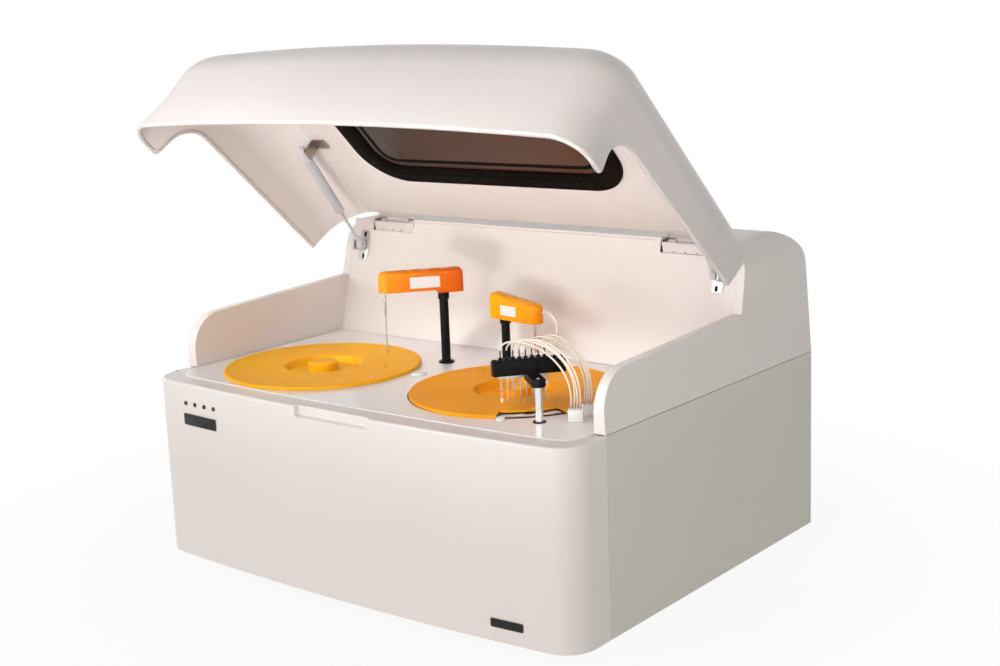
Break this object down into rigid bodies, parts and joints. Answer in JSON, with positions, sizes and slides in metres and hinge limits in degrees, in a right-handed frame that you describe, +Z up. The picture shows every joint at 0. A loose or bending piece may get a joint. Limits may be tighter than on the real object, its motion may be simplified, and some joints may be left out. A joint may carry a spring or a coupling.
{
  "type": "benchtop chemistry analyzer",
  "caption": "Benchtop chemistry analyzer: gas-strut lid over covered sample and reaction discs, swinging probe arms and a lifting wash head.",
  "frame": {"origin": "bottom centre of the bounding box, on the bench", "axes": "+X to the right seen from the front, +Y to the rear, +Z up"},
  "size_m": [0.9, 0.7, 0.8352],
  "materials": {
    "ivory": "satin moulding",
    "deck": "satin moulding",
    "lid": "satin moulding",
    "orange": "gloss",
    "amber": "satin",
    "black": "satin",
    "rubber": "matt",
    "smoked": "clear, smoked",
    "steel": "satin",
    "chrome": "polished",
    "sheet": "plated",
    "grey": "satin",
    "strut": "satin",
    "white": "satin",
    "hose": "translucent silicone",
    "board": "circuit board"
  },
  "bodies": {
    "casing": {"base_pan": "sheet", "front_cover": "ivory", "side_panel_left": "ivory", "side_panel_right": "ivory", "rear_panel": "ivory", "upper_shell": "ivory", "rear_wall": "ivory", "deck_plate": "deck", "foot_front_left": "rubber", "foot_front_right": "rubber", "foot_rear_left": "rubber", "foot_rear_right": "rubber", "name_plate": "black", "lower_plate": "black", "indicator_board": "board", "drain_block_front": "white", "drain_block_rear": "white", "wash_cup_left": "white", "wash_cup_right": "white", "wash_bush": "black", "hinge_base_left": "lid", "hinge_base_right": "lid", "strut_wall_bracket_left": "steel", "strut_wall_bracket_right": "steel", "power_supply": "sheet", "sample_pump": "grey", "mains_inlet": "black", "left_disc_motor": "black", "right_disc_motor": "black", "left_disc_well": "white", "right_disc_well": "white", "wash_hose_front": "hose", "wash_hose_rear": "hose"},
    "lid": {"lid_shell": "lid", "window_frame": "black", "window_pane": "smoked", "hinge_leaf_left": "lid", "hinge_leaf_right": "lid", "strut_lid_bracket_left": "steel", "strut_lid_bracket_right": "steel"},
    "strut_rod_l": {"strut_rod_left": "strut"},
    "strut_tube_l": {"strut_tube_left": "strut"},
    "strut_rod_r": {"strut_rod_right": "strut"},
    "strut_tube_r": {"strut_tube_right": "strut"},
    "left_cover": {"left_disc_cover": "amber"},
    "right_cover": {"right_disc_cover": "amber"},
    "tray": {"sample_tray": "white"},
    "rotor": {"reaction_rotor": "white"},
    "front_sleeve": {"front_arm_sleeve": "black"},
    "front_arm": {"front_arm_post": "black", "front_arm_cover": "orange", "front_arm_needle": "steel"},
    "rear_sleeve": {"rear_arm_sleeve": "black"},
    "rear_arm": {"rear_arm_post": "black", "rear_arm_cover": "orange", "rear_arm_paddle": "steel"},
    "wash_head": {"wash_bar": "black", "wash_needles": "steel", "wash_post": "chrome"},
    "rocker": {"power_rocker": "black"}
  },
  "joints": [
    {"name": "lid_hinge", "type": "hinge", "parent": "casing", "child": "lid", "pos_m": [0, 0.17, 0.5035], "axis": [1, 0, 0], "range_deg": [0, 45]},
    {"name": "left_strut_turn", "type": "hinge", "parent": "casing", "child": "strut_rod_l", "pos_m": [-0.377, 0.132, 0.464], "axis": [1, 0, 0], "range_deg": [0, 47.2]},
    {"name": "left_strut_stroke", "type": "slide", "parent": "strut_rod_l", "child": "strut_tube_l", "axis": [0, -0.5874, 0.8093], "range_m": [-0.0455, 0]},
    {"name": "right_strut_turn", "type": "hinge", "parent": "casing", "child": "strut_rod_r", "pos_m": [0.377, 0.132, 0.464], "axis": [1, 0, 0], "range_deg": [0, 47.2]},
    {"name": "right_strut_stroke", "type": "slide", "parent": "strut_rod_r", "child": "strut_tube_r", "axis": [0, -0.5874, 0.8093], "range_m": [-0.0455, 0]},
    {"name": "left_cover_lift", "type": "slide", "parent": "casing", "child": "left_cover", "axis": [0, 0, 1], "range_m": [0, 0.012]},
    {"name": "right_cover_lift", "type": "slide", "parent": "casing", "child": "right_cover", "axis": [0, 0, 1], "range_m": [0, 0.012]},
    {"name": "tray_spin", "type": "hinge", "parent": "casing", "child": "tray", "pos_m": [-0.2175, -0.1415, 0.27], "axis": [0, 0, 1], "continuous": true},
    {"name": "rotor_spin", "type": "hinge", "parent": "casing", "child": "rotor", "pos_m": [0.1675, -0.113, 0.27], "axis": [0, 0, 1], "continuous": true},
    {"name": "front_arm_turn", "type": "hinge", "parent": "casing", "child": "front_sleeve", "pos_m": [-0.0566, -0.0122, 0.306], "axis": [0, 0, 1], "range_deg": [-50, 112]},
    {"name": "front_arm_lift", "type": "slide", "parent": "front_sleeve", "child": "front_arm", "axis": [0, 0, 1], "range_m": [0, 0.02]},
    {"name": "rear_arm_turn", "type": "hinge", "parent": "casing", "child": "rear_sleeve", "pos_m": [0.0283, 0.0433, 0.306], "axis": [0, 0, 1], "range_deg": [-48, 40]},
    {"name": "rear_arm_lift", "type": "slide", "parent": "rear_sleeve", "child": "rear_arm", "axis": [0, 0, 1], "range_m": [0, 0.02]},
    {"name": "wash_lift", "type": "slide", "parent": "casing", "child": "wash_head", "axis": [0, 0, 1], "range_m": [-0.028, 0], "deforming": ["wash_hose_front", "wash_hose_rear"]},
    {"name": "rocker_tilt", "type": "hinge", "parent": "casing", "child": "rocker", "pos_m": [-0.33, 0.345, 0.098], "axis": [1, 0, 0], "range_deg": [0, 14]}
  ],
  "couplings": [
    {"joint": "left_strut_turn", "follows": "lid_hinge", "ratio": 1.0422},
    {"joint": "left_strut_stroke", "follows": "lid_hinge", "m_per_rad": -0.057},
    {"joint": "right_strut_turn", "follows": "lid_hinge", "ratio": 1.0422},
    {"joint": "right_strut_stroke", "follows": "lid_hinge", "m_per_rad": -0.057}
  ]
}
